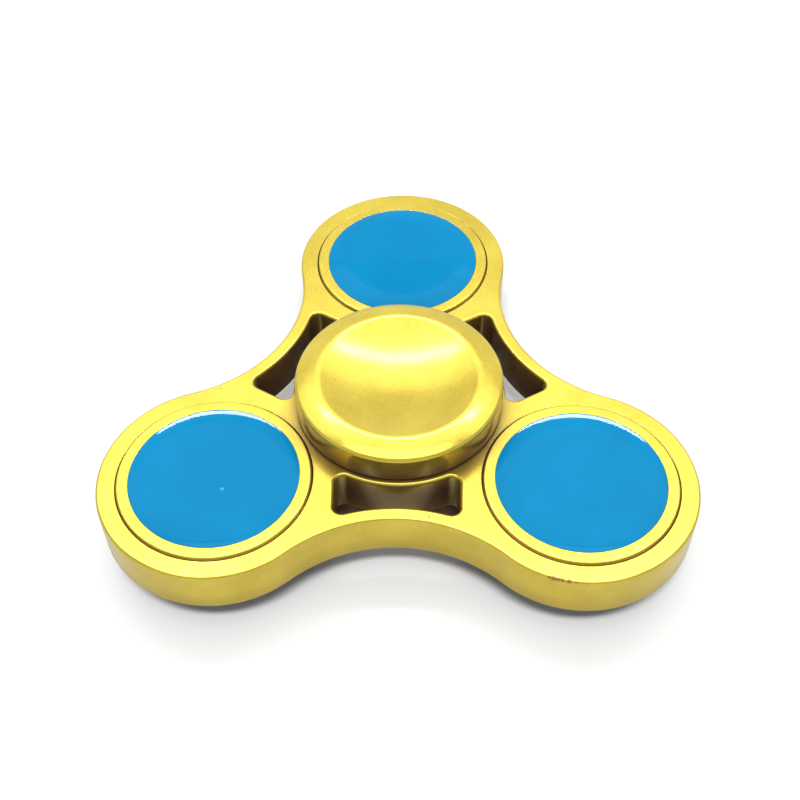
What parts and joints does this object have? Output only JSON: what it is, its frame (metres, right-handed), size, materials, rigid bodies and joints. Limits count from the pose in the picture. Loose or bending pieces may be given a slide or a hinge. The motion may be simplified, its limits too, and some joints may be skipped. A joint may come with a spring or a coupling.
{
  "type": "fidget spinner",
  "caption": "Lobed palm-size spinner: a gold cast frame with blue enamel discs turns on a ball bearing held between dished finger caps.",
  "frame": {"origin": "on the spin axis, halfway through the frame's thickness, which is the centroid", "axes": "+Z along the spin axis out of the upper cap, +Y towards one lobe, +X to the right"},
  "size_m": [0.0662, 0.0608, 0.0146],
  "materials": {
    "gold_paint": "satin metallic gold paint over cast alloy, fine flake grain",
    "blue_enamel": "glossy domed resin enamel",
    "bearing_steel": "ground and polished bearing steel",
    "weight_steel": "turned steel",
    "cage_steel": "pressed steel"
  },
  "bodies": {
    "hub": {"upper_cap": "gold_paint", "lower_cap": "gold_paint", "bearing_inner_ring": "bearing_steel"},
    "rotor": {"frame": "gold_paint", "counterweight_back": "weight_steel", "counterweight_left": "weight_steel", "counterweight_right": "weight_steel", "disc_tray_upper_back": "gold_paint", "disc_tray_lower_back": "gold_paint", "disc_tray_upper_left": "gold_paint", "disc_tray_lower_left": "gold_paint", "disc_tray_upper_right": "gold_paint", "disc_tray_lower_right": "gold_paint", "enamel_upper_back": "blue_enamel", "enamel_lower_back": "blue_enamel", "enamel_upper_left": "blue_enamel", "enamel_lower_left": "blue_enamel", "enamel_upper_right": "blue_enamel", "enamel_lower_right": "blue_enamel", "bearing_outer_ring": "bearing_steel", "bearing_shield_upper": "bearing_steel", "bearing_shield_lower": "bearing_steel"},
    "cage": {"bearing_cage_upper": "cage_steel", "bearing_cage_lower": "cage_steel"},
    "ball_1": {"bearing_ball_1": "bearing_steel"},
    "ball_2": {"bearing_ball_2": "bearing_steel"},
    "ball_3": {"bearing_ball_3": "bearing_steel"},
    "ball_4": {"bearing_ball_4": "bearing_steel"},
    "ball_5": {"bearing_ball_5": "bearing_steel"},
    "ball_6": {"bearing_ball_6": "bearing_steel"},
    "ball_7": {"bearing_ball_7": "bearing_steel"}
  },
  "joints": [
    {"name": "rotor_spin", "type": "hinge", "parent": "hub", "child": "rotor", "pos_m": [0, 0, 0], "axis": [0, 0, 1], "continuous": true},
    {"name": "cage_spin", "type": "hinge", "parent": "hub", "child": "cage", "pos_m": [0, 0, 0], "axis": [0, 0, 1], "continuous": true},
    {"name": "ball_1_roll", "type": "hinge", "parent": "cage", "child": "ball_1", "pos_m": [0, 0.0075, 0], "axis": [0, 0, 1], "continuous": true},
    {"name": "ball_2_roll", "type": "hinge", "parent": "cage", "child": "ball_2", "pos_m": [-0.00586, 0.00468, 0], "axis": [0, 0, 1], "continuous": true},
    {"name": "ball_3_roll", "type": "hinge", "parent": "cage", "child": "ball_3", "pos_m": [-0.00731, -0.00167, 0], "axis": [0, 0, 1], "continuous": true},
    {"name": "ball_4_roll", "type": "hinge", "parent": "cage", "child": "ball_4", "pos_m": [-0.00325, -0.00676, 0], "axis": [0, 0, 1], "continuous": true},
    {"name": "ball_5_roll", "type": "hinge", "parent": "cage", "child": "ball_5", "pos_m": [0.00325, -0.00676, 0], "axis": [0, 0, 1], "continuous": true},
    {"name": "ball_6_roll", "type": "hinge", "parent": "cage", "child": "ball_6", "pos_m": [0.00731, -0.00167, 0], "axis": [0, 0, 1], "continuous": true},
    {"name": "ball_7_roll", "type": "hinge", "parent": "cage", "child": "ball_7", "pos_m": [0.00586, 0.00468, 0], "axis": [0, 0, 1], "continuous": true}
  ],
  "couplings": [
    {"joint": "cage_spin", "follows": "rotor_spin", "ratio": 0.6323},
    {"joint": "ball_1_roll", "follows": "rotor_spin", "ratio": 1.7573},
    {"joint": "ball_2_roll", "follows": "rotor_spin", "ratio": 1.7573},
    {"joint": "ball_3_roll", "follows": "rotor_spin", "ratio": 1.7573},
    {"joint": "ball_4_roll", "follows": "rotor_spin", "ratio": 1.7573},
    {"joint": "ball_5_roll", "follows": "rotor_spin", "ratio": 1.7573},
    {"joint": "ball_6_roll", "follows": "rotor_spin", "ratio": 1.7573},
    {"joint": "ball_7_roll", "follows": "rotor_spin", "ratio": 1.7573}
  ]
}
